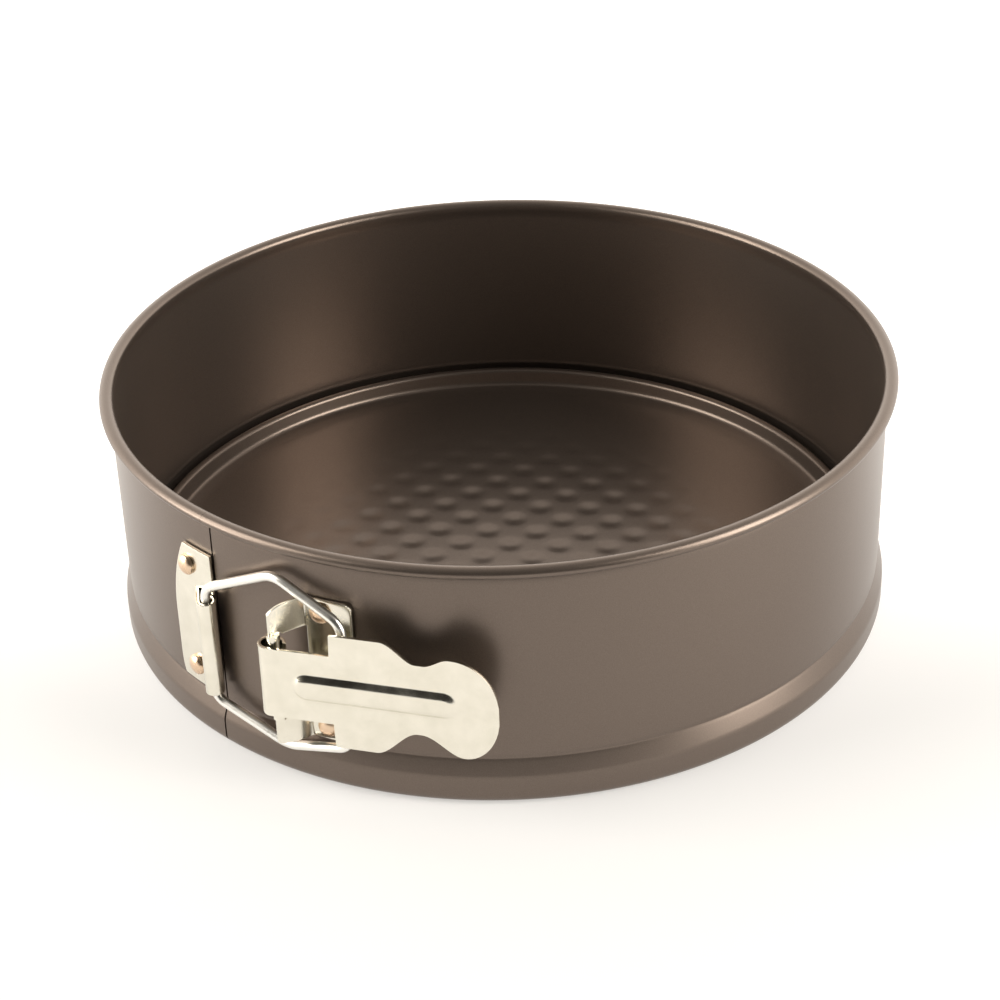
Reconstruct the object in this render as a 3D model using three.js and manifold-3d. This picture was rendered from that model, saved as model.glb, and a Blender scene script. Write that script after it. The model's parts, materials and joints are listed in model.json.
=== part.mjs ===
// Springform pan: an opening ring, a base held in the ring's foot, and a lever latch with a wire bail.
// Millimetres, +Z up. The pan stands on z = 0, and the origin is the middle of its whole outline.
// The latch stands out on the -Y side, so the pan's own axis is a little behind the origin.
// Pieces are drawn about the pan's axis, and one group moves them to the origin at the end.
// Angles are degrees counter-clockwise from +X.

import * as THREE from "three";
import { mergeVertices } from "three/addons/utils/BufferGeometryUtils.js";
import Module from "manifold-3d";

const wasm = await Module();
wasm.setup();

// Pan
const PAN_HEIGHT = 66.3;
const WALL_RADIUS = 100.15; // middle of the sheet
const SHEET = 0.5;
const CLEARANCE = 0.3;
const ARC_STEP = 4; // degrees per facet of the ring

// Rolled rim, a flattened roll that stands a little inside the wall as well as outside it
const RIM_OUTER = 102.84;
const RIM_ROLL = 1.22; // half the roll's height, middle of the sheet
const RIM_REACH = 1.54; // half the roll's width, middle of the sheet
const RIM_CENTRE = { r: RIM_OUTER - SHEET / 2 - RIM_REACH, z: PAN_HEIGHT - RIM_ROLL - SHEET / 2 };
const RIM_NECK = 62.4; // where the rim's inner side meets the wall

// Foot channel at the bottom of the ring, which holds the base
const WALL_FOOT = 13.6;
const CHANNEL_GROOVE = { r: 99.98, z: 12.7 };
const CHANNEL_SHOULDER = { r: 100.3, z: 11.9 };
const CHANNEL_RADIUS = 101.75;
const CHANNEL_BEND_TOP = 7.7;
const FOOT_BEND = 2.8;
const FOOT_INNER_RADIUS = 97.6;

// Ends of the ring strip: the left end lies over a tongue of the right end
const SEAM_ANGLE = -103.5;
const SEAM_GAP = 0.3; // degrees
const TONGUE_END_ANGLE = -140;
const TONGUE_JOG = 3; // degrees over which the tongue steps back out to the ring
const TONGUE_SHEET = 0.4;
const TONGUE_TOP = 61.9;
const TONGUE_GAP = 0.35;
const TONGUE_SETBACK = (SHEET + TONGUE_SHEET) / 2 + TONGUE_GAP;
const FLEX_ANGLE = 90;
const FLEX_GAP = 0.12; // degrees, each side

// Base
const BASE_SHEET = 0.6;
const BAKING_FACE_HEIGHT = 7.6;
const BASE_RADIUS = 100.0;
const SKIRT_BOTTOM = 2.7;
const SKIRT_TOP = 7.2;
const SHOULDER = { r: 99.3, z: 8.6 };
const CREST = { r: 96.1, z: 10.9 }; // centre of the crest's bend
const CREST_BEND = 1.2; // middle of the sheet
const CREST_FOOT = { r: 94.1, z: 8.1 };
const FACE_RADIUS = 90.4;
const BASE_FACETS = 60;

// Latch: middle height, pivots in plan, and the space that holds all of its sheet metal
const LEVER_PIVOT = { x: 0, y: -108.29 };
const ANCHOR_ANGLE = -103.24;
const BAIL_ANCHOR = polar(104.0, ANCHOR_ANGLE);
const BAIL_HOOK = { x: 16.1, y: -104.23 };
const LATCH_MIDDLE = 33.8;
const LATCH_SHEET = 0.8;
const LATCH_SPAN = { near: 90, far: 120, bottom: 12, top: 56 };
const STRAP_RADIUS = WALL_RADIUS + SHEET / 2 + CLEARANCE + LATCH_SHEET / 2;

// Anchor plate: where its edges lie along the ring, and the sleeve rolled round the wire (angles in degrees)
const ANCHOR = {
  from: -114,
  to: -103.3,
  bottom: 14.4,
  top: 54.3,
  upperTab: -0.5,
  lowerTab: -4,
  liftOff: -5.6,
};
const SLEEVE = { liftOffAngle: -107, rollStart: 39, rollEnd: 250, bottom: 17.5, top: 43.6 };

// Bracket: foot on the ring, arms out to the bar, and the gap between the arms
const BRACKET = {
  right: -80.6,
  bend: -87.2,
  beyondBar: 1.2,
  tip: -1.6,
  foot: 17.5,
  top: 53.3,
  bottom: 13.7,
  corner: 3,
};
const BRACKET_GAP = { depth: 4.6, bottom: 22.4, top: 45.2 };
const BAR_RADIUS = 1.6;
const BAR_LENGTH = 24.6;

// Lever: a flat plate whose near end curls round the bar
const LEVER_NORMAL_ANGLE = -75.84;
const LEVER_PLANE = 107.4; // distance from the pan's axis to the middle of the lever's sheet
const LEVER_CURL = 2.4;
const LEVER_OVERHANG = 1; // how far the curl's centre lies beyond the bar
const LEVER = { reach: 30, wrap: 85, curlEnd: -34, earEnd: -12 };
const RIB = { from: -18.5, to: 14.5, height: 33.6, radius: 2.9, rise: 0.9 };

// Wire bail: heights of its corners, and how far along it the peak and the dip lie
const WIRE_RADIUS = 1.2;
const WIRE_CLEARANCE = 0.35;
const BAIL = {
  middle: 0.535,
  bend: 2.6,
  upperEnd: 32.2,
  lowerEnd: 30.8,
  anchorTop: 47.2,
  anchorBottom: 15.8,
  peak: 57.9,
  dip: 9.6,
  hookTop: 50.4,
  hookBottom: 15.6,
};

// Rivets
const RIVET_HEAD_RADIUS = 2.7;
const RIVET_HEAD_HEIGHT = 1.6;
const RIVET_STANDOFF = 0.25;
const RIVET_SHANK_RADIUS = 1.3;
const RIVET_HOLE_RADIUS = 1.65;
const RIVET_FACETS = 10;
const INSIDE_HEAD_RADIUS = 2.3;
const INSIDE_HEAD_HEIGHT = 0.5;
const ANCHOR_RIVETS = { angle: -108.4, lower: 19.8, upper: 48.8 };
const BRACKET_RIVETS = { angle: -85.1, lower: 17.6, upper: 49.8 };

const coating = { color: 0x6b5d50, roughness: 0.45, metalness: 0.6 };
const zinc = { color: 0xd9d6cc, roughness: 0.3, metalness: 0.9 };
const copper = { color: 0xc9a184, roughness: 0.45, metalness: 0.8 };

// ---------- geometry helpers ----------

function radians(degrees) {
  return (degrees * Math.PI) / 180;
}

function polar(radius, degrees) {
  return { x: radius * Math.cos(radians(degrees)), y: radius * Math.sin(radians(degrees)) };
}

// Points along an arc about a centre, both ends included.
function arcPoints(cx, cy, radius, from, to, steps) {
  const points = [];
  for (let i = 0; i <= steps; i += 1) {
    const p = polar(radius, from + ((to - from) * i) / steps);
    points.push(new THREE.Vector2(cx + p.x, cy + p.y));
  }
  return points;
}

// Closed outline of a sheet of even thickness that follows a line of points.
function sheetOutline(points, thickness) {
  const left = [];
  const right = [];
  for (let i = 0; i < points.length; i += 1) {
    const before = points[Math.max(i - 1, 0)];
    const after = points[Math.min(i + 1, points.length - 1)];
    const here = points[i];
    const a = here.clone().sub(before).normalize();
    const b = after.clone().sub(here).normalize();
    const along = a.clone().add(b).normalize();
    const normal = new THREE.Vector2(-along.y, along.x);
    const single = a.lengthSq() > 0 ? a : b;
    const mitre = Math.abs(normal.x * -single.y + normal.y * single.x);
    const offset = normal.multiplyScalar(thickness / 2 / Math.max(mitre, 0.5));
    left.push(here.clone().add(offset));
    right.push(here.clone().sub(offset));
  }
  return left.concat(right.reverse());
}

// Solid from a geometry, for joining and cutting.
function solid(geometry) {
  const bare = geometry.clone();
  bare.deleteAttribute("normal");
  bare.deleteAttribute("uv");
  const merged = mergeVertices(bare, 1e-4);
  return new wasm.Manifold(
    new wasm.Mesh({
      numProp: 3,
      vertProperties: new Float32Array(merged.attributes.position.array),
      triVerts: new Uint32Array(merged.index.array),
    }),
  );
}

function geometryOf(manifold) {
  const mesh = manifold.getMesh();
  const geometry = new THREE.BufferGeometry();
  geometry.setAttribute("position", new THREE.BufferAttribute(mesh.vertProperties, 3));
  geometry.setIndex(new THREE.BufferAttribute(mesh.triVerts, 1));
  geometry.computeVertexNormals();
  return geometry;
}

// Plan outline (x, y) raised from one height to another.
function raise(points, bottom, top) {
  const shape = new THREE.Shape(points);
  const geometry = new THREE.ExtrudeGeometry(shape, { depth: top - bottom, bevelEnabled: false });
  return geometry.translate(0, 0, bottom);
}

// Elevation outline (across, height) made solid through its plane, which stands upright in plan:
// its normal points along normalAngle, and it runs from one distance off the axis to another.
function faceCutter(shape, normalAngle, from, to, curveSegments = 5) {
  const depth = to - from;
  const geometry = new THREE.ExtrudeGeometry(shape, { depth, bevelEnabled: false, curveSegments });
  const normal = polar(1, normalAngle);
  const basis = new THREE.Matrix4().makeBasis(
    new THREE.Vector3(-normal.y, normal.x, 0),
    new THREE.Vector3(0, 0, 1),
    new THREE.Vector3(normal.x, normal.y, 0),
  );
  return geometry.translate(0, 0, from).applyMatrix4(basis);
}

// Path around the pan's axis whose radius may change with the angle.
class RoundPath extends THREE.Curve {
  constructor(from, to, radiusAt) {
    super();
    this.from = from;
    this.to = to;
    this.radiusAt = radiusAt;
  }

  getPoint(t) {
    const angle = this.from + (this.to - this.from) * t;
    const p = polar(this.radiusAt(angle), angle);
    return new THREE.Vector3(p.x, p.y, 0);
  }
}

// Profile of (radius, height) points swept around part of the ring, counter-clockwise.
function sweepRound(profile, from, to, radiusAt, steps) {
  const shape = new THREE.Shape(profile.map((p) => new THREE.Vector2(-p.y, WALL_RADIUS - p.x)));
  const extrudePath = new RoundPath(from, to, radiusAt);
  return new THREE.ExtrudeGeometry(shape, { steps, extrudePath, bevelEnabled: false });
}

// Path with straight stretches and bends of one radius.
function bentPath(points, bend) {
  const path = new THREE.CurvePath();
  let start = points[0];
  for (let i = 1; i < points.length - 1; i += 1) {
    const corner = points[i];
    const into = corner.clone().sub(points[i - 1]).normalize().multiplyScalar(bend);
    const out = points[i + 1].clone().sub(corner).normalize().multiplyScalar(bend);
    const bendStart = corner.clone().sub(into);
    const bendEnd = corner.clone().add(out);
    path.add(new THREE.LineCurve3(start, bendStart));
    path.add(new THREE.QuadraticBezierCurve3(bendStart, corner, bendEnd));
    start = bendEnd;
  }
  path.add(new THREE.LineCurve3(start, points[points.length - 1]));
  return path;
}

function named(name, geometry, look) {
  const mesh = new THREE.Mesh(geometry, new THREE.MeshStandardMaterial(look));
  mesh.name = name;
  return mesh;
}

// ---------- ring ----------

// The rim's roll, from its open end under the outside to its inner side.
function rimLine() {
  const roll = arcPoints(0, 0, 1, -90, 180, 6);
  return roll.map((p) => new THREE.Vector2(RIM_CENTRE.r + p.x * RIM_REACH, RIM_CENTRE.z + p.y * RIM_ROLL));
}

// Channel at the ring's foot, from the wall down to the lip under the base, moved in by an inset.
function channelLine(inset, lipRadius) {
  const side = [
    new THREE.Vector2(WALL_RADIUS - inset, WALL_FOOT),
    new THREE.Vector2(CHANNEL_GROOVE.r - inset, CHANNEL_GROOVE.z),
    new THREE.Vector2(CHANNEL_SHOULDER.r - inset, CHANNEL_SHOULDER.z),
    new THREE.Vector2(CHANNEL_RADIUS - inset, CHANNEL_BEND_TOP),
  ];
  const bendCentre = { r: CHANNEL_RADIUS - FOOT_BEND, z: FOOT_BEND + SHEET / 2 };
  const bend = FOOT_BEND - inset;
  const foot = arcPoints(bendCentre.r, bendCentre.z, bend, 0, -90, 3);
  return [...side, ...foot, new THREE.Vector2(lipRadius, bendCentre.z - bend)];
}

// Middle of the ring's sheet from the open roll of the rim down to the lip under the base.
function ringLine() {
  const neck = new THREE.Vector2(WALL_RADIUS, RIM_NECK);
  return [...rimLine(), neck, ...channelLine(0, FOOT_INNER_RADIUS)];
}

// The tongue nests inside the ring's own section, with a plain top edge.
function tongueLine() {
  const top = new THREE.Vector2(WALL_RADIUS - TONGUE_SETBACK, TONGUE_TOP);
  return [top, ...channelLine(TONGUE_SETBACK, FOOT_INNER_RADIUS + CLEARANCE)];
}

function ringSweep(from, to) {
  const steps = Math.ceil((to - from) / ARC_STEP);
  return solid(sweepRound(sheetOutline(ringLine(), SHEET), from, to, () => WALL_RADIUS, steps));
}

function tongue() {
  const start = SEAM_ANGLE + SEAM_GAP;
  const setOut = (angle) => THREE.MathUtils.smoothstep(angle, start + SEAM_GAP, start + TONGUE_JOG);
  const to = start + 2 * TONGUE_JOG;
  const steps = Math.ceil((to - TONGUE_END_ANGLE) / 2);
  const radiusAt = (angle) => WALL_RADIUS + TONGUE_SETBACK * setOut(angle);
  const profile = sheetOutline(tongueLine(), TONGUE_SHEET);
  return solid(sweepRound(profile, TONGUE_END_ANGLE, to, radiusAt, steps));
}

function rivetHole(angle, height) {
  const length = 8; // enough to pass through the ring and the latch plate
  const geometry = new THREE.CylinderGeometry(RIVET_HOLE_RADIUS, RIVET_HOLE_RADIUS, length, RIVET_FACETS);
  geometry.rotateZ(-Math.PI / 2);
  geometry.translate(WALL_RADIUS, 0, height);
  return solid(geometry.rotateZ(radians(angle)));
}

function cutRivetHoles(body, rivets) {
  return body
    .subtract(rivetHole(rivets.angle, rivets.lower))
    .subtract(rivetHole(rivets.angle, rivets.upper));
}

function ringBandRight() {
  const body = ringSweep(SEAM_ANGLE + SEAM_GAP, FLEX_ANGLE - FLEX_GAP).add(tongue());
  return named("ring_band_right", geometryOf(cutRivetHoles(body, BRACKET_RIVETS)), coating);
}

function ringBandLeft() {
  const body = ringSweep(FLEX_ANGLE + FLEX_GAP, SEAM_ANGLE + 360);
  return named("ring_band_left", geometryOf(cutRivetHoles(body, ANCHOR_RIVETS)), coating);
}

// ---------- base ----------

// Skirt that stands in the ring's channel, raised bead, then the flat baking face.
function basePlate() {
  const face = BAKING_FACE_HEIGHT - BASE_SHEET / 2;
  const line = [
    new THREE.Vector2(BASE_RADIUS, SKIRT_BOTTOM),
    new THREE.Vector2(BASE_RADIUS, SKIRT_TOP),
    new THREE.Vector2(SHOULDER.r, SHOULDER.z),
    ...arcPoints(CREST.r, CREST.z, CREST_BEND, 30, 160, 5),
    new THREE.Vector2(CREST_FOOT.r + 0.3, CREST_FOOT.z + 0.7),
    new THREE.Vector2(CREST_FOOT.r - 0.8, CREST_FOOT.z - 0.3),
    new THREE.Vector2(FACE_RADIUS, face),
    new THREE.Vector2(0, face),
  ];
  const outline = sheetOutline(line, BASE_SHEET);
  const profile = [...outline.slice(line.length), ...outline.slice(0, line.length)].reverse();
  const geometry = new THREE.LatheGeometry(profile, BASE_FACETS);
  geometry.rotateX(Math.PI / 2);
  return named("base_plate", geometryOf(solid(geometry)), coating);
}

// ---------- latch ----------

// Elevation outline cut out of upright sheet metal of the latch.
function cutToOutline(sheet, outline, normalAngle) {
  return sheet.intersect(solid(faceCutter(outline, normalAngle, LATCH_SPAN.near, LATCH_SPAN.far)));
}

// Sheet metal that stands upright on a line in plan, tall enough for the whole latch.
function uprightSheet(line) {
  return solid(raise(sheetOutline(line, LATCH_SHEET), LATCH_SPAN.bottom, LATCH_SPAN.top));
}

function rivet(name, place, height, insideHead) {
  const under = STRAP_RADIUS + LATCH_SHEET / 2 + RIVET_STANDOFF;
  const inner = WALL_RADIUS - SHEET / 2;
  const dome = arcPoints(0, 0, 1, 90, 0, 3);
  const onDome = (p) => new THREE.Vector2(p.x * RIVET_HEAD_RADIUS, under + p.y * RIVET_HEAD_HEIGHT);
  const profile = dome.map(onDome);
  profile[0].x = 0;
  profile.push(new THREE.Vector2(RIVET_SHANK_RADIUS, under));
  if (insideHead) {
    const head = inner - CLEARANCE;
    profile.push(new THREE.Vector2(RIVET_SHANK_RADIUS, head));
    profile.push(new THREE.Vector2(INSIDE_HEAD_RADIUS, head));
    profile.push(new THREE.Vector2(INSIDE_HEAD_RADIUS, head - INSIDE_HEAD_HEIGHT));
    profile.push(new THREE.Vector2(0, head - INSIDE_HEAD_HEIGHT));
  } else {
    profile.push(new THREE.Vector2(RIVET_SHANK_RADIUS, inner));
    profile.push(new THREE.Vector2(0, inner));
  }
  const geometry = new THREE.LatheGeometry(profile.reverse(), RIVET_FACETS);
  geometry.rotateZ(-Math.PI / 2);
  geometry.translate(0, 0, height);
  geometry.rotateZ(radians(place.angle));
  return named(name, geometryOf(solid(geometry)), copper);
}

// Strap outline: x is measured along the ring from the wire's anchor, y is the height.
function anchorOutline() {
  const edge = new THREE.Shape();
  edge.moveTo(-15.5, ANCHOR.bottom);
  edge.quadraticCurveTo(-19.3, 32, -10.6, ANCHOR.top);
  edge.lineTo(ANCHOR.upperTab, ANCHOR.top);
  edge.lineTo(ANCHOR.upperTab - 0.8, SLEEVE.top);
  edge.lineTo(ANCHOR.liftOff, SLEEVE.top);
  edge.lineTo(ANCHOR.liftOff, SLEEVE.bottom);
  edge.lineTo(ANCHOR.lowerTab, SLEEVE.bottom);
  edge.lineTo(ANCHOR.lowerTab, ANCHOR.bottom);
  return edge;
}

// Strap riveted to the ring's left end. Its middle lifts off the ring and rolls over the wire's ends.
function anchorPlate() {
  const liftOff = polar(STRAP_RADIUS, SLEEVE.liftOffAngle);
  const roll = WIRE_RADIUS + WIRE_CLEARANCE + LATCH_SHEET / 2;
  const start = ANCHOR_ANGLE - SLEEVE.rollStart;
  const end = ANCHOR_ANGLE + SLEEVE.rollEnd;
  const line = [
    new THREE.Vector2(liftOff.x, liftOff.y),
    ...arcPoints(BAIL_ANCHOR.x, BAIL_ANCHOR.y, roll, start, end, 9),
  ];
  const flat = uprightSheet(arcPoints(0, 0, STRAP_RADIUS, ANCHOR.from, ANCHOR.to, 5));
  const plate = cutToOutline(flat, anchorOutline(), ANCHOR_ANGLE);
  const rolled = solid(raise(sheetOutline(line, LATCH_SHEET), SLEEVE.bottom, SLEEVE.top));
  const body = cutRivetHoles(plate.add(rolled), ANCHOR_RIVETS);
  return named("anchor_plate", geometryOf(body), zinc);
}

// Bracket outline: x runs from the bar towards the riveted foot, y is the height.
function bracketOutline() {
  const { tip, foot, top, bottom, corner } = BRACKET;
  const outline = new THREE.Shape();
  outline.moveTo(foot, bottom + 2);
  outline.lineTo(foot, top - 2.3);
  outline.quadraticCurveTo(foot, top, foot - corner, top);
  outline.lineTo(tip + corner, top);
  outline.quadraticCurveTo(tip, top, tip, top - corner);
  outline.lineTo(tip, bottom + corner);
  outline.quadraticCurveTo(tip, bottom, tip + corner, bottom);
  outline.lineTo(foot - 2, bottom);
  outline.quadraticCurveTo(foot, bottom, foot, bottom + 2);
  const gap = new THREE.Path();
  gap.moveTo(tip + 0.1, BRACKET_GAP.bottom);
  gap.lineTo(tip + 0.1, BRACKET_GAP.top);
  gap.lineTo(BRACKET_GAP.depth, BRACKET_GAP.top);
  gap.lineTo(BRACKET_GAP.depth, BRACKET_GAP.bottom);
  outline.holes.push(gap);
  return outline;
}

// Riveted plate with two arms bent out to the bar that the lever turns on.
function leverBracket() {
  const foot = arcPoints(0, 0, STRAP_RADIUS, BRACKET.right, BRACKET.bend, 4);
  const pivot = new THREE.Vector2(LEVER_PIVOT.x, LEVER_PIVOT.y);
  const outward = pivot.clone().sub(foot[foot.length - 1]).normalize();
  const arm = pivot.addScaledVector(outward, BRACKET.beyondBar);
  const bar = new THREE.CylinderGeometry(BAR_RADIUS, BAR_RADIUS, BAR_LENGTH, 12);
  bar.rotateX(Math.PI / 2);
  bar.translate(LEVER_PIVOT.x, LEVER_PIVOT.y, LATCH_MIDDLE);
  const plate = cutToOutline(uprightSheet([...foot, arm]), bracketOutline(), -90);
  const body = cutRivetHoles(plate.add(solid(bar)), BRACKET_RIVETS);
  return named("lever_bracket", geometryOf(body), zinc);
}

// Lever outline in its own plane: x runs from the point nearest the pan's axis, y is the height.
// The curl's edge, the ears by the bracket's arms, the waist, then the round finger end.
function leverOutline() {
  const face = new THREE.Shape();
  face.moveTo(LEVER.curlEnd, 24.8);
  face.lineTo(LEVER.earEnd, 24.6);
  face.lineTo(LEVER.earEnd, 18);
  face.lineTo(-0.8, 18.4);
  face.quadraticCurveTo(3.5, 24.6, 8.6, 24.6);
  face.bezierCurveTo(14, 24.6, 15.1, 19.8, 20.2, 19.8);
  face.bezierCurveTo(25.3, 19.8, 27.8, 28.5, 27.6, 33);
  face.bezierCurveTo(27.5, 38.8, 23.2, 46.5, 17.4, 46.5);
  face.bezierCurveTo(14, 46.3, 12.4, 44.2, 9.8, 44.2);
  face.quadraticCurveTo(4.5, 44.6, 1.4, 49.2);
  face.lineTo(LEVER.earEnd, 49.2);
  face.lineTo(LEVER.earEnd, 43);
  face.lineTo(LEVER.curlEnd, 44);
  return face;
}

// Stiffening rib pressed out along the lever.
function leverRib() {
  const { from, to, height, radius, rise } = RIB;
  const rib = new THREE.Shape();
  rib.moveTo(from, height - radius);
  rib.lineTo(to, height - radius);
  rib.absarc(to, height, radius, -Math.PI / 2, Math.PI / 2, false);
  rib.lineTo(from, height + radius);
  rib.absarc(from, height, radius, Math.PI / 2, (3 * Math.PI) / 2, false);
  const top = LEVER_PLANE + LATCH_SHEET / 2 + rise;
  return solid(faceCutter(rib, LEVER_NORMAL_ANGLE, LEVER_PLANE, top));
}

function clampLever() {
  const normal = new THREE.Vector2().copy(polar(1, LEVER_NORMAL_ANGLE));
  const along = new THREE.Vector2(-normal.y, normal.x);
  const tip = normal.clone().multiplyScalar(LEVER_PLANE).addScaledVector(along, LEVER.reach);
  const centre = new THREE.Vector2().copy(LEVER_PIVOT).addScaledVector(along, -LEVER_OVERHANG);
  const back = LEVER_NORMAL_ANGLE - 180;
  const outer = arcPoints(centre.x, centre.y, LEVER_CURL, LEVER_NORMAL_ANGLE, back, 14);
  const inner = arcPoints(LEVER_PIVOT.x, LEVER_PIVOT.y, LEVER_CURL, back, back - LEVER.wrap, 6);
  const curl = [...outer, ...inner];
  const plate = cutToOutline(uprightSheet([tip, ...curl]), leverOutline(), LEVER_NORMAL_ANGLE);
  return named("clamp_lever", geometryOf(plate.add(leverRib())), zinc);
}

// One length of wire bent into a six-sided loop, with its two ends meeting in the anchor's roll.
function wireBail() {
  const from = new THREE.Vector2().copy(BAIL_ANCHOR);
  const along = new THREE.Vector2().copy(BAIL_HOOK).sub(from);
  const at = (share, z) => new THREE.Vector3(from.x + along.x * share, from.y + along.y * share, z);
  const points = [
    at(0, BAIL.upperEnd),
    at(0, BAIL.anchorTop),
    at(BAIL.middle, BAIL.peak),
    at(1, BAIL.hookTop),
    at(1, BAIL.hookBottom),
    at(BAIL.middle, BAIL.dip),
    at(0, BAIL.anchorBottom),
    at(0, BAIL.lowerEnd),
  ];
  const section = new THREE.Shape(arcPoints(0, 0, WIRE_RADIUS, 0, 315, 7));
  const extrudePath = bentPath(points, BAIL.bend);
  const geometry = new THREE.ExtrudeGeometry(section, { steps: 64, extrudePath, bevelEnabled: false });
  return named("wire_bail", geometry, zinc);
}

// ---------- assembly ----------

const CURL_DROP = LEVER_OVERHANG * polar(1, LEVER_NORMAL_ANGLE).x;
const LATCH_REACH = LEVER_CURL + LATCH_SHEET / 2 + CURL_DROP - LEVER_PIVOT.y;

const pan = new THREE.Group();
pan.position.y = (LATCH_REACH - RIM_OUTER) / 2;
pan.add(ringBandRight(), ringBandLeft(), basePlate(), anchorPlate(), leverBracket());
pan.add(clampLever(), wireBail());
pan.add(rivet("anchor_rivet_lower", ANCHOR_RIVETS, ANCHOR_RIVETS.lower, false));
pan.add(rivet("anchor_rivet_upper", ANCHOR_RIVETS, ANCHOR_RIVETS.upper, false));
pan.add(rivet("bracket_rivet_lower", BRACKET_RIVETS, BRACKET_RIVETS.lower, true));
pan.add(rivet("bracket_rivet_upper", BRACKET_RIVETS, BRACKET_RIVETS.upper, true));

const group = new THREE.Group();
group.add(pan);

export default group;
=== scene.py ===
import json
import math

import bmesh
import bpy
from mathutils import Matrix, Vector


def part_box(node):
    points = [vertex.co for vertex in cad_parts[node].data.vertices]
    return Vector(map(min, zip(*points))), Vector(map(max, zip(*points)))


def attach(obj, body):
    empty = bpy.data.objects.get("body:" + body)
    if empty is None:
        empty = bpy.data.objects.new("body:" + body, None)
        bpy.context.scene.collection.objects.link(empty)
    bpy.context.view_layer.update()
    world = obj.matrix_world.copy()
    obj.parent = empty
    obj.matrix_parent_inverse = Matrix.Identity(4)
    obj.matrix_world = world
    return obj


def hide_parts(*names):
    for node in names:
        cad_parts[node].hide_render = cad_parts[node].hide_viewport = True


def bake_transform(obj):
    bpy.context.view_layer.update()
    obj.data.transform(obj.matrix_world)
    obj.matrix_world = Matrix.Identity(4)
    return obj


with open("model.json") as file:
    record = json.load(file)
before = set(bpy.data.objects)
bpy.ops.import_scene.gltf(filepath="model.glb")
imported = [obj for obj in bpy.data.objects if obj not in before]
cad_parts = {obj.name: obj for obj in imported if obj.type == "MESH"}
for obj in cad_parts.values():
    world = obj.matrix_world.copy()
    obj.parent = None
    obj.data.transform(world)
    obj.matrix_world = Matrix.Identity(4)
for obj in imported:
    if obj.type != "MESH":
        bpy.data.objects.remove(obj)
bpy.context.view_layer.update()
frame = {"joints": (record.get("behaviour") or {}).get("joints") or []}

# Lengths are metres. MM turns a drawing's millimetres into metres.
MM = 0.001

# ---------- sizes taken from the frame ----------

BASE_LOW, BASE_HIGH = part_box("base_plate")
AXIS = Vector(((BASE_LOW.x + BASE_HIGH.x) / 2, (BASE_LOW.y + BASE_HIGH.y) / 2, 0))
RIM_OUTER = -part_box("ring_band_left")[0].x / MM
PAN_TOP = 66.3
JOINTS = {joint["name"]: joint for joint in frame["joints"]}


def pivot(joint):
    """A joint's place in plan about the pan's axis, in millimetres."""
    place = JOINTS[joint]["pos_m"]
    return Vector((place[0] / MM, (place[1] - AXIS.y) / MM))


LEVER_PIVOT = pivot("lever_swing")
BAIL_ANCHOR = pivot("bail_swing")
BAIL_HOOK = Vector((16.1, -104.23))

# ---------- ring, in millimetres and degrees about the pan's axis ----------

SHEET = 0.5
RIM_ROLL = 1.22
RIM_REACH = 1.54
NECK_TOP, NECK_BOTTOM = 62.0, 58.0
WALL_RADIUS = 100.15
WALL_BOTTOM, WALL_FOOT = 16.0, 13.6
GROOVE = (99.98, 12.7)
CHANNEL_TOP = (100.3, 11.9)
CHANNEL_RADIUS = 101.75
CHANNEL_BEND_TOP = 7.7
FOOT_BEND = 2.8
FOOT_INNER_RADIUS = 97.6
SEAM_ANGLE = -103.5
SEAM_GAP = 0.3
RIM_SEAM_GAP = 0.04
TONGUE_END = -140.0
TONGUE_SETBACK = 0.8
TONGUE_SHEET = 0.4
TONGUE_TOP = 62.2
RING_STEP = 0.75

# ---------- base ----------

BASE_SHEET = 0.6
FACE_HEIGHT = 7.6
BASE_RADIUS = 100.0
SKIRT_BOTTOM = 2.7
SKIRT_TOP = 7.2
SHOULDER = (99.3, 8.6)
CREST_OUTER = (97.1, 12.2)
CREST_INNER = (95.3, 12.3)
CREST_FOOT = (94.2, 8.0)
FACE_RADIUS = 90.4
BASE_SEGMENTS = 360
DIMPLE_PITCH = 9.5
DIMPLE_TURN = -22.0
DIMPLE_SHIFT = (-0.06, 0.28)
DIMPLE_FIELD = 65.0
DIMPLE_DEPTH = 0.36
DIMPLE_RADIUS = 4.3

# ---------- latch ----------

LATCH_SHEET = 0.8
LATCH_EDGE = 0.14
STRAP_RADIUS = 101.1
WIRE_RADIUS = 1.2
LEVER_NORMAL = -75.84
LEVER_PLANE = 107.4
LEVER_CURL = 2.4
LEVER_OVERHANG = 1.0
LEVER_TIP = 27.5
LEVER_LOW, LEVER_HIGH = 24.2, 43.2
EAR_END = -12.2
EAR_LOW, EAR_HIGH = 17.7, 48.9
WAIST_LOW, WAIST_HIGH = 24.5, 43.8
RIB_START, RIB_STOP = -18.3, 14.4
RIB_HEIGHT = 33.6
RIB_RISE = 0.95
ANCHOR_LOW, ANCHOR_HIGH = 14.4, 54.3
ANCHOR_LEFT = -112.4
ANCHOR_LIFT = -107.0
UPPER_TAB, LOWER_TAB = -103.4, -105.2
SLEEVE_LOW, SLEEVE_HIGH = 17.5, 43.6
SLEEVE_GAP = 0.35
WIRE_ANGLE = -103.24
ROLL_START, ROLL_END = WIRE_ANGLE - 39, WIRE_ANGLE + 250
BRACKET_LOW, BRACKET_HIGH = 13.8, 53.2
BRACKET_RIGHT, BRACKET_LEFT, BRACKET_BEND = -80.6, -87.0, -87.6
BRACKET_BEYOND = 1.2
WINDOW_DEPTH = 4.7
WINDOW_LOW, WINDOW_HIGH = 22.3, 45.3
BAR_RADIUS = 1.6
BAR_LOW, BAR_HIGH = 22.0, 45.6
ANCHOR_RIVETS = (-108.4, (19.8, 48.8))
BRACKET_RIVETS = (-85.1, (17.6, 49.8))
RIVET_SEAT = STRAP_RADIUS + LATCH_SHEET / 2 + 0.05
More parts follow.
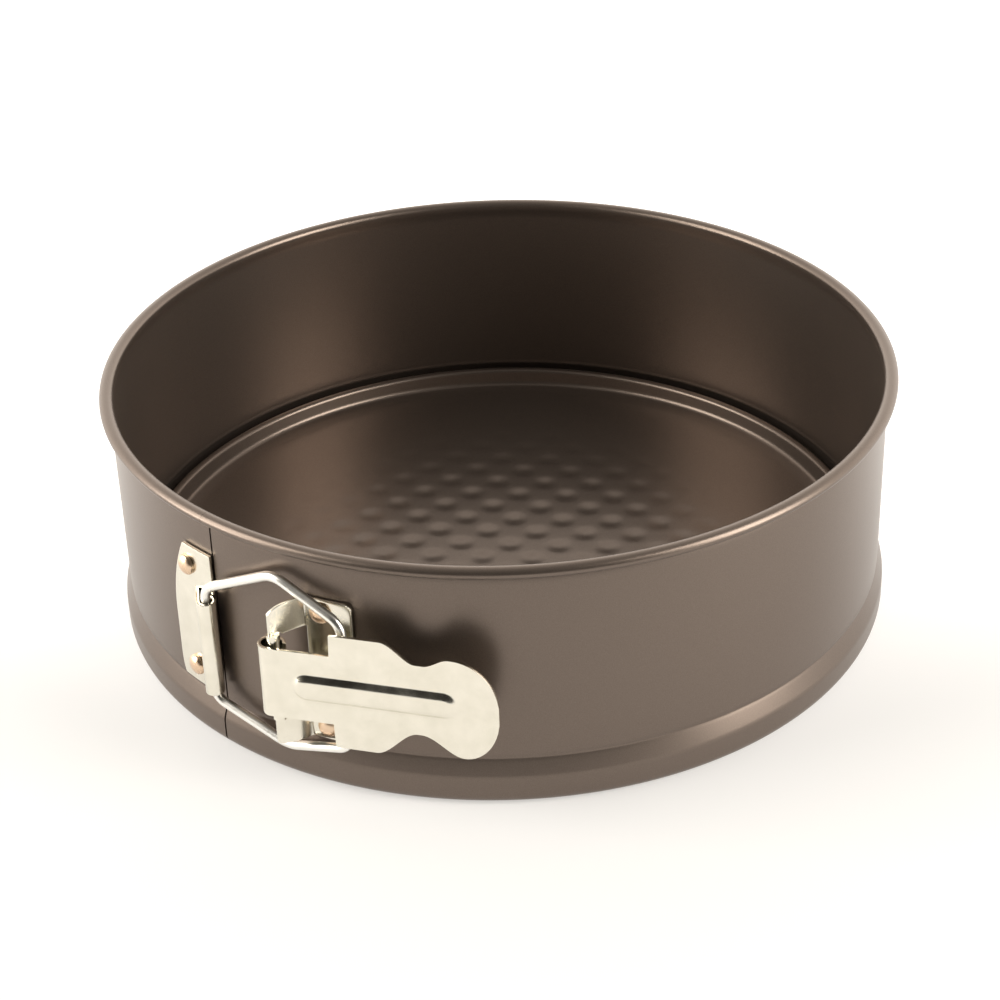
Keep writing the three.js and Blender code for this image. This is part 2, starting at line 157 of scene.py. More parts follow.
RIVET_HEAD = 2.65
RIVET_RIM = 0.35
RIVET_DOME = 1.35
RIVET_SHANK = 1.3
# Radius, and depth inside the ring, of the points of the head that shows inside the pan
INSIDE_HEAD = ((0, 0.8), (1.5, 0.72), (2.1, 0.5), (2.3, 0.3), (RIVET_SHANK, 0.3))


# ---------- small maths ----------

def polar(radius, degrees):
    a = math.radians(degrees)
    return Vector((radius * math.cos(a), radius * math.sin(a)))


def smooth(value, low, high):
    t = min(max((value - low) / (high - low), 0), 1)
    return t * t * (3 - 2 * t)


def arc(centre, radius, start, end, steps):
    """Points along an arc in a plane, both ends included."""
    turn = (end - start) / steps
    return [Vector(centre) + polar(radius, start + turn * i) for i in range(steps + 1)]


def samples(start, end, step):
    count = max(1, round(abs(end - start) / step))
    return [start + (end - start) * i / count for i in range(count + 1)]


def along(points, step):
    """A line of points with more of them on its long stretches."""
    line = [points[0]]
    for before, after in zip(points, points[1:]):
        count = max(1, math.ceil((after - before).length / step))
        line += [before.lerp(after, (i + 1) / count) for i in range(count)]
    return line


def rounded(points, radius, steps=6):
    """A line of points, 2-D or 3-D, with its corners turned into bends."""
    line = [points[0]]
    for before, corner, after in zip(points, points[1:], points[2:]):
        reach = min(radius, (before - corner).length * 0.48, (after - corner).length * 0.48)
        a = corner + (before - corner).normalized() * reach
        b = corner + (after - corner).normalized() * reach
        for i in range(steps + 1):
            t = i / steps
            line.append(a * (1 - t) ** 2 + corner * 2 * t * (1 - t) + b * t * t)
    return line + [points[-1]]


def sheet_outline(line, thickness):
    """Closed outline of a sheet of even thickness along a line of points."""
    left, right = [], []
    for i, here in enumerate(line):
        a = (here - line[max(i - 1, 0)]).normalized()
        b = (line[min(i + 1, len(line) - 1)] - here).normalized()
        direction = (a + b).normalized()
        normal = Vector((-direction.y, direction.x))
        single = a if a.length > 0 else b
        offset = normal * (thickness / 2 / max(abs(single.cross(direction.orthogonal())), 0.5))
        left.append(here + offset)
        right.append(here - offset)
    return left + right[::-1]


# ---------- mesh building ----------

def new_object(name, vertices, faces):
    """A mesh object from points in millimetres about the pan's axis, with its faces turned outward."""
    mesh = bpy.data.meshes.new(name)
    mesh.from_pydata([Vector(v) * MM + AXIS for v in vertices], [], faces)
    build = bmesh.new()
    build.from_mesh(mesh)
    bmesh.ops.remove_doubles(build, verts=build.verts, dist=0.004 * MM)
    bmesh.ops.recalc_face_normals(build, faces=build.faces)
    build.to_mesh(mesh)
    build.free()
    mesh.update()
    piece = bpy.data.objects.new(name, mesh)
    bpy.context.scene.collection.objects.link(piece)
    return piece


def shade(piece, angle=35):
    """Smooth shading, with a crease wherever the surface turns sharply."""
    mesh = piece.data
    mesh.shade_smooth()
    mesh.set_sharp_from_angle(angle=math.radians(angle))
    return piece


def apply_modifiers(piece):
    graph = bpy.context.evaluated_depsgraph_get()
    mesh = bpy.data.meshes.new_from_object(piece.evaluated_get(graph))
    piece.modifiers.clear()
    piece.data = mesh


def loops_to_faces(rows, columns, close_rows, close_columns):
    """Quads over a grid of points stored row by row."""
    faces = []
    for i in range(rows if close_rows else rows - 1):
        for j in range(columns if close_columns else columns - 1):
            a, b = i * columns + j, i * columns + (j + 1) % columns
            c, d = ((i + 1) % rows) * columns + (j + 1) % columns, ((i + 1) % rows) * columns + j
            faces.append((a, b, c, d))
    return faces


def sweep_profile(name, profile, angles, shift=None):
    """A closed profile of (radius, height) swept round the pan's axis between its two capped ends."""
    vertices = []
    for angle in angles:
        out = shift(angle) if shift else 0
        for point in profile:
            place = polar(point.x + out, angle)
            vertices.append((place.x, place.y, point.y))
    columns = len(profile)
    faces = loops_to_faces(len(angles), columns, False, True)
    last = (len(angles) - 1) * columns
    faces += [tuple(range(columns)), tuple(range(last, last + columns))]
    return new_object(name, vertices, faces)


def join(name, pieces):
    """One object from several, each kept as its own closed shell."""
    build = bmesh.new()
    for piece in pieces:
        build.from_mesh(piece.data)
    mesh = bpy.data.meshes.new(name)
    build.to_mesh(mesh)
    build.free()
    for piece in pieces:
        bpy.data.objects.remove(piece)
    whole = bpy.data.objects.new(name, mesh)
    bpy.context.scene.collection.objects.link(whole)
    return whole


# ---------- materials ----------

def map_range(tree, value, low, high, new_low, new_high):
    """A node that carries a value from one range to another."""
    node = tree.nodes.new("ShaderNodeMapRange")
    numbers = {"From Min": low, "From Max": high, "To Min": new_low, "To Max": new_high}
    for socket, number in numbers.items():
        node.inputs[socket].default_value = number
    tree.links.new(value, node.inputs["Value"])
    return node


class Nodes:
    """A short way to write a material's nodes."""

    def __init__(self, name):
        self.material = bpy.data.materials.new(name)
        self.material.use_nodes = True
        self.tree = self.material.node_tree
        self.shader = self.tree.nodes["Principled BSDF"]
        self.place = self.add("ShaderNodeTexCoord").outputs["Object"]

    def add(self, kind, **settings):
        node = self.tree.nodes.new(kind)
        for key, value in settings.items():
            setattr(node, key, value)
        return node

    def link(self, a, b):
        self.tree.links.new(a, b)

    def noise(self, scale, detail=2.0, roughness=0.5, stretch=None):
        node = self.add("ShaderNodeTexNoise")
        node.inputs["Scale"].default_value = scale
        node.inputs["Detail"].default_value = detail
        node.inputs["Roughness"].default_value = roughness
        source = self.place
        if stretch:
            mapping = self.add("ShaderNodeMapping")
            mapping.inputs["Scale"].default_value = stretch
            self.link(source, mapping.inputs["Vector"])
            source = mapping.outputs["Vector"]
        self.link(source, node.inputs["Vector"])
        return node.outputs["Fac"]

    def remap(self, value, low, high, new_low, new_high):
        return map_range(self.tree, value, low, high, new_low, new_high).outputs["Result"]

    def mix(self, factor, first, second):
        node = self.add("ShaderNodeMix", data_type="RGBA")
        node.inputs[6].default_value = (*first, 1)
        node.inputs[7].default_value = (*second, 1)
        self.link(factor, node.inputs[0])
        return node.outputs[2]

    def bump(self, height, strength, distance, below=None):
        node = self.add("ShaderNodeBump")
        node.inputs["Strength"].default_value = strength
        node.inputs["Distance"].default_value = distance
        self.link(height, node.inputs["Height"])
        if below:
            self.link(below, node.inputs["Normal"])
        return node.outputs["Normal"]

    def finish(self, color, roughness, normal, metallic):
        self.shader.inputs["Metallic"].default_value = metallic
        self.link(color, self.shader.inputs["Base Color"])
        self.link(roughness, self.shader.inputs["Roughness"])
        self.link(normal, self.shader.inputs["Normal"])
        return self.material


def coating(name, dark, light, roughness):
    """Non-stick coating: satin, with a fine metallic flake."""
    n = Nodes(name)
    flake = n.noise(5200, 1)
    cloud = n.noise(24, 1)
    color = n.mix(n.remap(flake, 0.25, 0.75, 0, 1), dark, light)
    rough = n.remap(cloud, 0.3, 0.7, roughness - 0.01, roughness + 0.01)
    grain = n.bump(flake, 0.10, 0.00002)
    return n.finish(color, rough, grain, 0.82)


def plated(name, dark, light, roughness, wear):
    """Bright zinc plating: cloudy, faintly scratched along its length."""
    n = Nodes(name)
    cloud = n.noise(180, 4, 0.6)
    scratch = n.noise(700, 3, 0.7, stretch=(0.12, 0.12, 1.6))
    color = n.mix(n.remap(cloud, 0.3, 0.72, 0, 1), dark, light)
    rough = n.remap(cloud, 0.3, 0.7, roughness, roughness + wear)
    dents = n.bump(n.noise(110, 2), 0.22, 0.0002)
    lines = n.bump(scratch, 0.1, 0.00004, dents)
    return n.finish(color, rough, lines, 1.0)


COATING_DARK = (0.143, 0.113, 0.094)
COATING_LIGHT = (0.186, 0.148, 0.124)
RING_COATING = coating("ring_coating", COATING_DARK, COATING_LIGHT, 0.34)
BASE_COATING = coating("base_coating", COATING_DARK, COATING_LIGHT, 0.33)
ZINC = plated("zinc_plate", (0.77, 0.735, 0.63), (0.86, 0.82, 0.72), 0.14, 0.12)
ZINC_WIRE = plated("zinc_wire", (0.88, 0.86, 0.81), (0.95, 0.93, 0.88), 0.27, 0.10)
COPPER = plated("copper_wash", (0.72, 0.52, 0.36), (0.84, 0.65, 0.48), 0.25, 0.15)


def dress(piece, material, body, slot, *nodes):
    """Material, body and the CAD nodes that the piece stands for; the slot argument is not used."""
    piece.data.materials.clear()
    piece.data.materials.append(material)
    if body:
        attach(piece, body)
    if nodes:
        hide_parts(*nodes)
    return piece


# ---------- ring ----------

def channel_line(inset, lip):
    """The foot channel, from the wall down to the lip under the base, with a slight groove at its top."""
    outward = Vector((inset, 0))
    bend = Vector((CHANNEL_RADIUS - FOOT_BEND, FOOT_BEND + SHEET / 2))
    side = [
        Vector((WALL_RADIUS, WALL_BOTTOM)),
        Vector((WALL_RADIUS, WALL_FOOT)),
        Vector(GROOVE),
        Vector(CHANNEL_TOP),
        Vector((CHANNEL_RADIUS, CHANNEL_BEND_TOP)),
        Vector((CHANNEL_RADIUS, bend.y + 0.2)),
    ]
    corner = [point - outward for point in rounded(side, 0.8, 5)]
    foot = arc(bend, FOOT_BEND - inset, 0, -90, 10)
    return corner + foot + [Vector((FOOT_INNER_RADIUS + lip, bend.y - FOOT_BEND + inset))]


def rim_roll():
    """Middle of the rim's sheet: a flattened roll that stands proud of the wall on both sides."""
    centre = Vector((RIM_OUTER - SHEET / 2 - RIM_REACH, PAN_TOP - RIM_ROLL - SHEET / 2))
    return [centre + Vector((p.x * RIM_REACH, p.y * RIM_ROLL)) for p in arc((0, 0), 1, -125, 180, 30)]


def ring_profile():
    roll = rim_roll()
    neck = [roll[-1], roll[-1] - Vector((0, 0.7))]
    neck += [Vector((WALL_RADIUS, NECK_TOP)), Vector((WALL_RADIUS, NECK_BOTTOM))]
    return sheet_outline(roll + rounded(neck, 1.2)[1:] + channel_line(0, 0), SHEET)


def tongue_profile():
    start = [Vector((WALL_RADIUS - TONGUE_SETBACK, TONGUE_TOP))]
    return sheet_outline(start + channel_line(TONGUE_SETBACK, 0.3), TONGUE_SHEET)


def make_ring():
    """The strip in three lengths: two that stay stiff on the ring's two halves, and the back, which belongs
    to no body.
    """
    right_start = SEAM_ANGLE + SEAM_GAP
    front_right = sweep_profile("ring_front_right", ring_profile(), samples(right_start, 0, RING_STEP))
    set_out = lambda angle: TONGUE_SETBACK * smooth(angle, SEAM_ANGLE + 0.5, SEAM_ANGLE + 3.3)
    tongue_angles = samples(TONGUE_END, SEAM_ANGLE + 6, 0.5)
    tongue = sweep_profile("tongue", tongue_profile(), tongue_angles, set_out)
    rim_angles = [SEAM_ANGLE + RIM_SEAM_GAP, right_start]
    rim_end = sweep_profile("rim_end", sheet_outline(rim_roll(), SHEET), rim_angles)
    right = join("ring_front_right", [front_right, rim_end, tongue])
    back = sweep_profile("ring_back", ring_profile(), samples(0, 180, RING_STEP))
    left = sweep_profile("ring_front_left", ring_profile(), samples(180, SEAM_ANGLE + 360, RING_STEP))
    for piece in (right, back, left):
        shade(piece)
    dress(right, RING_COATING, "right_half", "ring_coating", "ring_band_right")
    dress(left, RING_COATING, "left_half", "ring_coating", "ring_band_left")
    dress(back, RING_COATING, None, "ring_coating")
    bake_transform(back)


# ---------- base ----------

def dimple(x, y):
    """Depth of the nearest dimple, fading out towards the smooth border."""
    turn = math.radians(DIMPLE_TURN)
    u = (x * math.cos(turn) + y * math.sin(turn)) / DIMPLE_PITCH - DIMPLE_SHIFT[0]
    v = (-x * math.sin(turn) + y * math.cos(turn)) / DIMPLE_PITCH - DIMPLE_SHIFT[1]
    du, dv = (u - round(u)) * DIMPLE_PITCH, (v - round(v)) * DIMPLE_PITCH
    near = math.hypot(du, dv) / DIMPLE_RADIUS
    centre_radius = math.hypot(round(u) + DIMPLE_SHIFT[0], round(v) + DIMPLE_SHIFT[1]) * DIMPLE_PITCH
    if near >= 1 or centre_radius > DIMPLE_FIELD:
        return 0
    fade = 1 - 0.6 * smooth(centre_radius, DIMPLE_FIELD * 0.6, DIMPLE_FIELD)
    return DIMPLE_DEPTH * fade * (0.5 + 0.5 * math.cos(math.pi * near))


def base_profile():
    face = FACE_HEIGHT - BASE_SHEET / 2
    edge = [
        Vector((BASE_RADIUS, SKIRT_BOTTOM)),
        Vector((BASE_RADIUS, SKIRT_TOP)),
        Vector(SHOULDER),
        Vector(CREST_OUTER),
        Vector(CREST_INNER),
        Vector(CREST_FOOT),
        Vector((FACE_RADIUS, face)),
        Vector((DIMPLE_FIELD + DIMPLE_RADIUS, face)),
    ]
    rim = along(rounded(edge, 1.4, 8), 3)
    field = [Vector((r, face)) for r in samples(DIMPLE_FIELD + DIMPLE_RADIUS, 0.4, 0.8)[1:]]
    return rim + field


def make_base():
    """The profile turned about the axis, with the dimples pressed into it and its two middles closed."""
    outline = sheet_outline(base_profile(), BASE_SHEET)
    vertices = []
    for i in range(BASE_SEGMENTS):
        for point in outline:
            place = polar(point.x, 360 * i / BASE_SEGMENTS)
            vertices.append((place.x, place.y, point.y - dimple(place.x, place.y)))
    columns = len(outline)
    top_end = columns // 2 - 1
    faces = loops_to_faces(BASE_SEGMENTS, columns, True, False)
    faces = [face for face in faces if face[0] % columns != top_end]
    starts = [i * columns for i in range(BASE_SEGMENTS)]
    top_cap = tuple(start + top_end for start in starts)
    under_cap = tuple(start + top_end + 1 for start in reversed(starts))
    faces += [top_cap, under_cap]
    for here, after in zip(starts, starts[1:] + starts[:1]):
        faces.append((here, here + columns - 1, after + columns - 1, after))
    base = shade(new_object("pan_base", vertices, faces))
    dress(base, BASE_COATING, "right_half", "base_coating", "base_plate")


# ---------- latch sheet metal ----------

def path_frames(line):
    """Each point of a line in plan, with the direction that its sheet faces."""
    frames = []
    for i, here in enumerate(line):
        direction = (line[min(i + 1, len(line) - 1)] - line[max(i - 1, 0)]).normalized()
        frames.append((here, Vector((direction.y, -direction.x))))
    return frames


def even_rows(low, high, count):
    """Heights evenly spaced from low to high, both included."""
    return [low + (high - low) * k / count for k in range(count + 1)]


def panel(line, heights, relief):
    """Points and quads of a sheet's middle: a line in plan, with the heights of its rows at each point."""
    vertices = []
    for i, (here, facing) in enumerate(path_frames(line)):
        rows = heights(i, here)
        for z in rows:
            place = here + facing * relief(i, here, z)
            vertices.append((place.x, place.y, z))
    return vertices, loops_to_faces(len(line), len(rows), False, False)


def sheet_metal(name, panels, cut=None):
    """Joins panels along their shared borders, thickens them and rounds the edges."""
    vertices, faces = [], []
    for points, quads in panels:
        start = len(vertices)
        vertices += points
        faces += [tuple(start + k for k in quad) for quad in quads]
    if cut:
        middle = lambda face: sum((Vector(vertices[k]) for k in face), Vector((0, 0, 0))) / len(face)
        faces = [face for face in faces if not cut(middle(face))]
    piece = new_object(name, vertices, faces)
    solid = piece.modifiers.new("thickness", "SOLIDIFY")
    solid.thickness = LATCH_SHEET * MM
    solid.offset = 0
    solid.use_even_offset = True
    bevel = piece.modifiers.new("edges", "BEVEL")
    bevel.width = LATCH_EDGE * MM
    bevel.segments = 2
    bevel.angle_limit = math.radians(50)
    apply_modifiers(piece)
    return shade(piece, 40)


def lever_top(s):
    """Upper edge of the lever, by distance along it."""
    ear = EAR_HIGH - (EAR_HIGH - WAIST_HIGH) * smooth(s, -0.2, 8.2)
    lobe = WAIST_HIGH + 2.4 * smooth(s, 10.0, 16.0)
    tip = 33.0 + 13.2 * math.sqrt(max(0, 1 - ((s - 16.6) / 11.0) ** 2)) if s > 16.6 else 99
    outer = LEVER_HIGH if s < EAR_END else ear if s < 9.3 else lobe
    return min(outer, tip)


def lever_bottom(s):
    """Lower edge of the lever, by distance along it."""
    ear = EAR_LOW + (WAIST_LOW - EAR_LOW) * smooth(s, -2.2, 8.0)
    lobe = WAIST_LOW - 5.1 * smooth(s, 9.0, 19.0)
    tip = 32.0 - 12.6 * math.sqrt(max(0, 1 - ((s - 19.0) / 8.6) ** 2)) if s > 19.0 else -99
    outer = LEVER_LOW if s < EAR_END else ear if s < 8.5 else lobe
    return max(outer, tip)


def lever_rib(s, z):
    """Height of the pressed rib above the lever's face."""
    past_end = max(RIB_START - s, s - RIB_STOP, 0)
    return RIB_RISE * (1 - smooth(math.hypot(past_end, z - RIB_HEIGHT), 1.6, 3.9))


def lever_rows(bottom, top):
    """Heights across the lever. The inner rows stay level where the outline steps out to the ears."""
    margin = 0.04 * (top - bottom)
    low, high = max(25.0, bottom + margin), min(42.4, top - margin)
    return even_rows(bottom, low, 5)[:-1] + even_rows(low, high, 46) + even_rows(high, top, 5)[1:]


def make_lever():
    """A plate whose near end curls round the bar."""
    normal = polar(1, LEVER_NORMAL)
    tangent = Vector((-normal.y, normal.x))
    centre = LEVER_PIVOT - tangent * LEVER_OVERHANG
    wrap = arc(LEVER_PIVOT, LEVER_CURL, LEVER_NORMAL - 265, LEVER_NORMAL - 180, 10)
    curl = wrap + arc(centre, LEVER_CURL, LEVER_NORMAL - 180, LEVER_NORMAL, 26)
    stations = samples(centre.dot(tangent), EAR_END - 0.1, 0.55)[1:]
    stations += samples(EAR_END + 0.1, LEVER_TIP, 0.4)
    line = curl + [normal * LEVER_PLANE + tangent * s for s in stations]
    distance = lambda here: here.dot(tangent)
    on_face = lambda i: i >= len(curl)
    low = lambda i, here: lever_bottom(distance(here)) if on_face(i) else LEVER_LOW
    high = lambda i, here: lever_top(distance(here)) if on_face(i) else LEVER_HIGH
    heights = lambda i, here: lever_rows(low(i, here), high(i, here))
    relief = lambda i, here, z: lever_rib(distance(here), z) if on_face(i) else 0
    lever = sheet_metal("clamp_lever_plate", [panel(line, heights, relief)])
    dress(lever, ZINC, "lever", "latch_steel", "clamp_lever")


def strip(line, heights):
    """Points and quads of a sheet's middle: a line in plan, raised to each height."""
    points = [(here.x, here.y, z) for here in line for z in heights]
    return points, loops_to_faces(len(line), len(heights), False, False)


def anchor_left(z):
    """Angle of the strap's left edge, which turns in towards its top and bottom."""
    return ANCHOR_LEFT + 3.2 * max(0, (z - 33) / 21.3) ** 2 + 0.6 * max(0, (20 - z) / 6) ** 2


def make_anchor():
    """Strap on the ring's left end. Two tabs stay flat, and the middle lifts off and rolls round the wire."""
    rows = sorted(set(samples(ANCHOR_LOW, ANCHOR_HIGH, 0.7) + [SLEEVE_LOW, SLEEVE_HIGH]))
    columns = 14
    vertices = []
    for k in range(columns + 1):
        for z in rows:
            left = anchor_left(z)
            place = polar(STRAP_RADIUS, left + (ANCHOR_LIFT - left) * k / columns)
            vertices.append((place.x, place.y, z))
    strap = (vertices, loops_to_faces(columns + 1, len(rows), False, False))
    on_ring = lambda end: [polar(STRAP_RADIUS, angle) for angle in samples(ANCHOR_LIFT, end, 0.45)]
    upper = strip(on_ring(UPPER_TAB), [z for z in rows if z >= SLEEVE_HIGH])
    lower = strip(on_ring(LOWER_TAB), [z for z in rows if z <= SLEEVE_LOW])
    curl = arc(BAIL_ANCHOR, WIRE_RADIUS + SLEEVE_GAP + LATCH_SHEET / 2, ROLL_START, ROLL_END, 26)
    lifted = along([polar(STRAP_RADIUS, ANCHOR_LIFT), curl[0]], 0.9)
    sleeve = strip(lifted + curl[1:], [z for z in rows if SLEEVE_LOW <= z <= SLEEVE_HIGH])
    plate = sheet_metal("anchor_strap", [strap, upper, lower, sleeve])
    dress(plate, ZINC, "left_half", "latch_steel", "anchor_plate")


def make_bracket():
    """Plate on the ring's right end, with two arms bent out to the bar."""
    foot = [polar(STRAP_RADIUS, angle) for angle in samples(BRACKET_RIGHT, BRACKET_LEFT, 0.35)]
    bend = polar(STRAP_RADIUS, BRACKET_BEND)
    beyond = LEVER_PIVOT + (LEVER_PIVOT - bend).normalized() * BRACKET_BEYOND
    arm = rounded([foot[-1], bend, beyond], 1.6, 6)
    line = foot + along(arm, 0.5)[1:]
    corner = lambda x: 1 - math.sqrt(max(0, 1 - (max(0, 2.6 - x) / 3.4) ** 2))
    top = lambda x: BRACKET_HIGH - 1.6 * smooth(x, 15.4, 17.0) - 3.0 * corner(x)
    bottom = lambda x: BRACKET_LOW + 1.6 * smooth(x, 14.5, 17.2) + 2.2 * corner(x)
    window = lambda p: p.x < WINDOW_DEPTH and WINDOW_LOW < p.z < WINDOW_HIGH
    heights = lambda i, p: even_rows(bottom(p.x), top(p.x), 64)
    sheet = panel(line, heights, lambda i, p, z: 0)
    plate = sheet_metal("bracket_sheet", [sheet], cut=window)
    rod = [(0, BAR_LOW), (BAR_RADIUS, BAR_LOW), (BAR_RADIUS, BAR_HIGH), (0, BAR_HIGH)]
    bar = revolve("bracket_bar", rod, 32)
    bar.data.transform(Matrix.Translation((LEVER_PIVOT.x * MM, LEVER_PIVOT.y * MM, 0)))
    whole = shade(join("bracket_with_bar", [plate, bar]), 40)
    dress(whole, ZINC, "right_half", "latch_steel", "lever_bracket")


def revolve(name, profile, segments):
    """A turned solid about the pan's axis, from (radius, height) points that start and end on the axis."""
    vertices = []
    for i in range(segments):
        for radius, height in profile:
            place = polar(radius, 360 * i / segments)
            vertices.append((place.x, place.y, height))
    return new_object(name, vertices, loops_to_faces(segments, len(profile), True, False))


# ---------- wire and rivets ----------

def make_bail():
    """One bent wire. Its two ends meet inside the anchor plate's sleeve."""
    direction = (BAIL_HOOK - BAIL_ANCHOR).normalized()
    length = (BAIL_HOOK - BAIL_ANCHOR).length
    at = lambda s, z: Vector((BAIL_ANCHOR.x + direction.x * s, BAIL_ANCHOR.y + direction.y * s, z))
    corners = [
        at(0, 32.4), at(0, 47.2), at(length * 0.53, 57.9), at(length, 50.4),
        at(length, 15.6), at(length * 0.54, 9.7), at(0, 15.8), at(0, 30.8),
    ]
    line = along(rounded(corners, 3.2, 8), 1.2)
    flat = Vector((direction.y, -direction.x, 0))
    sides, vertices = 20, []
    for i, here in enumerate(line):
        forward = (line[min(i + 1, len(line) - 1)] - line[max(i - 1, 0)]).normalized()
        side = forward.cross(flat)
        for k in range(sides):
            ring = polar(WIRE_RADIUS, 360 * k / sides)
            vertices.append(here + flat * ring.x + side * ring.y)
    faces = loops_to_faces(len(line), sides, False, True)
    last = (len(line) - 1) * sides
    faces += [tuple(range(sides)), tuple(range(last, last + sides))]
    bail = shade(new_object("bail_wire", vertices, faces))
    dress(bail, ZINC_WIRE, "bail", "wire_steel", "wire_bail")


def make_rivet(name, angle, height, body, inside_head, node):
    """Round-headed rivet, with or without a second head inside the ring."""
    across = lambda a: RIVET_HEAD * math.cos(math.radians(a))
    above = lambda a: RIVET_SEAT + RIVET_RIM + RIVET_DOME * math.sin(math.radians(a))
    dome = [(across(a), above(a)) for a in range(0, 90, 9)]
    head = [(RIVET_HEAD, RIVET_SEAT)] + dome + [(0, RIVET_SEAT + RIVET_RIM + RIVET_DOME)]
    inner = WALL_RADIUS - SHEET / 2
    if inside_head:
        inside = [(radius, inner - depth) for radius, depth in INSIDE_HEAD]
    else:
        inside = [(0, inner + 0.1), (RIVET_SHANK, inner + 0.1)]
    profile = inside + [(RIVET_SHANK, RIVET_SEAT)] + head
    rivet = revolve(name, profile, 32)
    rivet.data.transform(Matrix.Translation(-AXIS))
    turn = Matrix.Rotation(math.radians(angle), 4, "Z") @ Matrix.Rotation(math.radians(90), 4, "Y")
    rivet.data.transform(Matrix.Translation(AXIS + Vector((0, 0, height * MM))) @ turn)
    shade(rivet, 40)
    dress(rivet, COPPER, body, "rivet_steel", node)


def make_rivets():
    for angle, heights, body, stem, inside in (
        (*ANCHOR_RIVETS, "left_half", "anchor_rivet", False),
        (*BRACKET_RIVETS, "right_half", "bracket_rivet", True),
    ):
        for height, place in zip(heights, ("lower", "upper")):
            make_rivet(f"{stem}_{place}_head", angle, height, body, inside, f"{stem}_{place}")


# ---------- stage, light and camera ----------

CAMERA_AZIMUTH = 29.66
CAMERA_ELEVATION = 30.93
CAMERA_ROLL = -1.804
CAMERA_DISTANCE = 619.1
CAMERA_LENS = 82.78
CAMERA_AIM = (-0.578, 0.0, 23.06)
LIGHT_COLOR = (1.0, 0.955, 0.88)
FLOOR_GLOW = (1.0, 0.97, 0.93)
FLOOR_FRONT = 0.50
FLOOR_BACK = 1.15
FLOOR_SHADE = 0.42
WORLD_COLOR = (1.0, 0.955, 0.89)
WORLD_DARK = 0.25
WORLD_OPENING = 0.1
WORLD_BACK = 2.1


def turned(vector):
    """A direction or place drawn with the camera on the -Y side, turned to where the camera really stands."""
    return Matrix.Rotation(math.radians(CAMERA_AZIMUTH), 3, "Z") @ Vector(vector)


def make_camera():
    data = bpy.data.cameras.new("camera")
    data.lens = CAMERA_LENS
    data.sensor_width = 36
    camera = bpy.data.objects.new("camera", data)
    bpy.context.scene.collection.objects.link(camera)
    tilt, roll = math.radians(CAMERA_ELEVATION), math.radians(CAMERA_ROLL)
    forward = Vector((0, math.cos(tilt), -math.sin(tilt)))
    right, up = Vector((1, 0, 0)), Vector((0, math.sin(tilt), math.cos(tilt)))
    across = right * math.cos(roll) + up * math.sin(roll)
    above = up * math.cos(roll) - right * math.sin(roll)
    place = (Vector(CAMERA_AIM) - forward * CAMERA_DISTANCE) * MM
    axes = [turned(across), turned(above), turned(-forward)]
    camera.matrix_world = Matrix.Translation(turned(place) + AXIS) @ Matrix(axes).transposed().to_4x4()
    bpy.context.scene.camera = camera


def soft_box(name, place, power, size):
    """A warm area light at a place seen from the camera's side, facing the pan."""
    data = bpy.data.lights.new(name, "AREA")
    data.energy = power
    data.shape = "RECTANGLE"
    data.size, data.size_y = size
    data.color = LIGHT_COLOR
    light = bpy.data.objects.new(name, data)
    light.location = turned(place)
    light.rotation_mode = "QUATERNION"
    light.rotation_quaternion = (Vector((0, 0, 0.03)) - light.location).to_track_quat("-Z", "Y")
    bpy.context.scene.collection.objects.link(light)


def ramp(tree, value, low, high, new_low=0.0, new_high=1.0):
    """A smooth step from one number to another."""
    node = map_range(tree, value, low, high, new_low, new_high)
    node.interpolation_type = "SMOOTHSTEP"
    return node.outputs["Result"]


def along_direction(tree, place, direction):
    """How far a place or direction lies along another direction."""
    node = tree.nodes.new("ShaderNodeVectorMath")
    node.operation = "DOT_PRODUCT"
    node.inputs[1].default_value = direction
    tree.links.new(place, node.inputs[0])
    return node.outputs["Value"]


def multiply(tree, first, second):
    node = tree.nodes.new("ShaderNodeMath")
    node.operation = "MULTIPLY"
    tree.links.new(first, node.inputs[0])
    tree.links.new(second, node.inputs[1])
    return node.outputs["Value"]


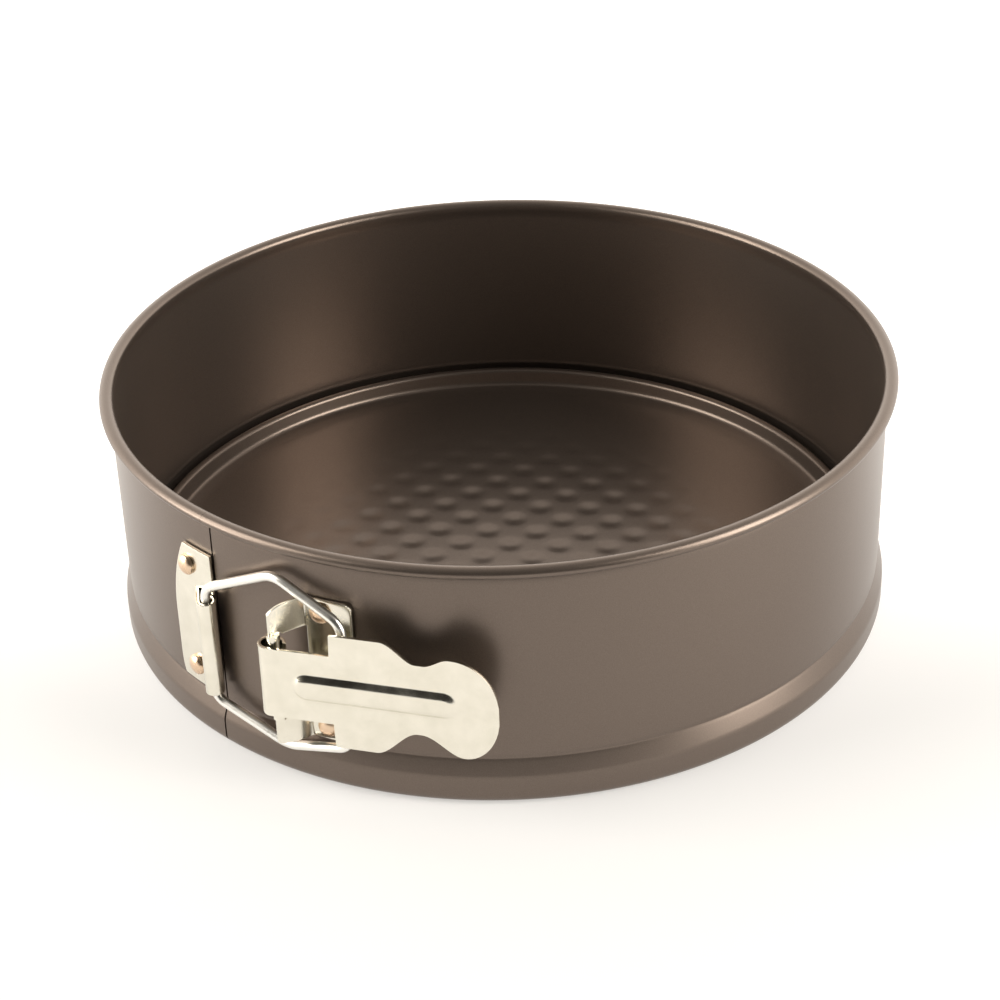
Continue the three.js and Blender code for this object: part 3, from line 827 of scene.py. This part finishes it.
def make_stage():
    """A pale glowing table, brightest at the back and fading into the dark at the front."""
    bpy.ops.mesh.primitive_plane_add(size=14, location=(0, 0, -0.00002))
    floor = bpy.context.object
    floor.name = "floor"
    n = Nodes("pale_floor")
    n.shader.inputs["Roughness"].default_value = 0.8
    depth = along_direction(n.tree, n.place, turned((0, 1, 0)))
    edge = ramp(n.tree, depth, -0.75, -0.40)
    glow = multiply(n.tree, ramp(n.tree, depth, -0.08, 0.10, FLOOR_FRONT, FLOOR_BACK), edge)
    n.link(n.mix(edge, (0.01,) * 3, (FLOOR_SHADE,) * 3), n.shader.inputs["Base Color"])
    n.shader.inputs["Emission Color"].default_value = (*FLOOR_GLOW, 1)
    n.link(glow, n.shader.inputs["Emission Strength"])
    floor.data.materials.append(n.material)
    make_studio()
    soft_box("soft_left", (-1.08, -0.15, 0.60), 15.5, (0.7, 1.1))
    soft_box("low_left", (-1.05, -0.15, 0.14), 2.6, (0.6, 0.22))
    soft_box("soft_right", (1.00, -0.42, 0.48), 19, (0.55, 1.15))


def make_studio():
    """Dark overhead and in front, bright low down behind the pan. It stays put in every view."""
    world = bpy.data.worlds.new("studio")
    world.use_nodes = True
    tree = world.node_tree
    back = tree.nodes["Background"]
    direction = tree.nodes.new("ShaderNodeTexCoord").outputs["Generated"]
    behind = ramp(tree, along_direction(tree, direction, turned((0, 1, 0))), -0.1, 0.5)
    low = ramp(tree, along_direction(tree, direction, (0, 0, 1)), 0.3, 0.95, 1.0, 0.25)
    glow = map_range(tree, multiply(tree, behind, low), 0, 1, WORLD_DARK, WORLD_BACK).outputs["Result"]
    towards_opening = along_direction(tree, direction, turned((0, -0.94, 0.34)))
    opening = ramp(tree, towards_opening, 0.35, 0.85, 1.0, WORLD_OPENING)
    back.inputs["Color"].default_value = (*WORLD_COLOR, 1)
    tree.links.new(multiply(tree, glow, opening), back.inputs["Strength"])
    bpy.context.scene.world = world


make_ring()
make_base()
make_lever()
make_anchor()
make_bracket()
make_bail()
make_rivets()
make_camera()
make_stage()

scene = bpy.context.scene
scene.view_settings.view_transform = "Standard"
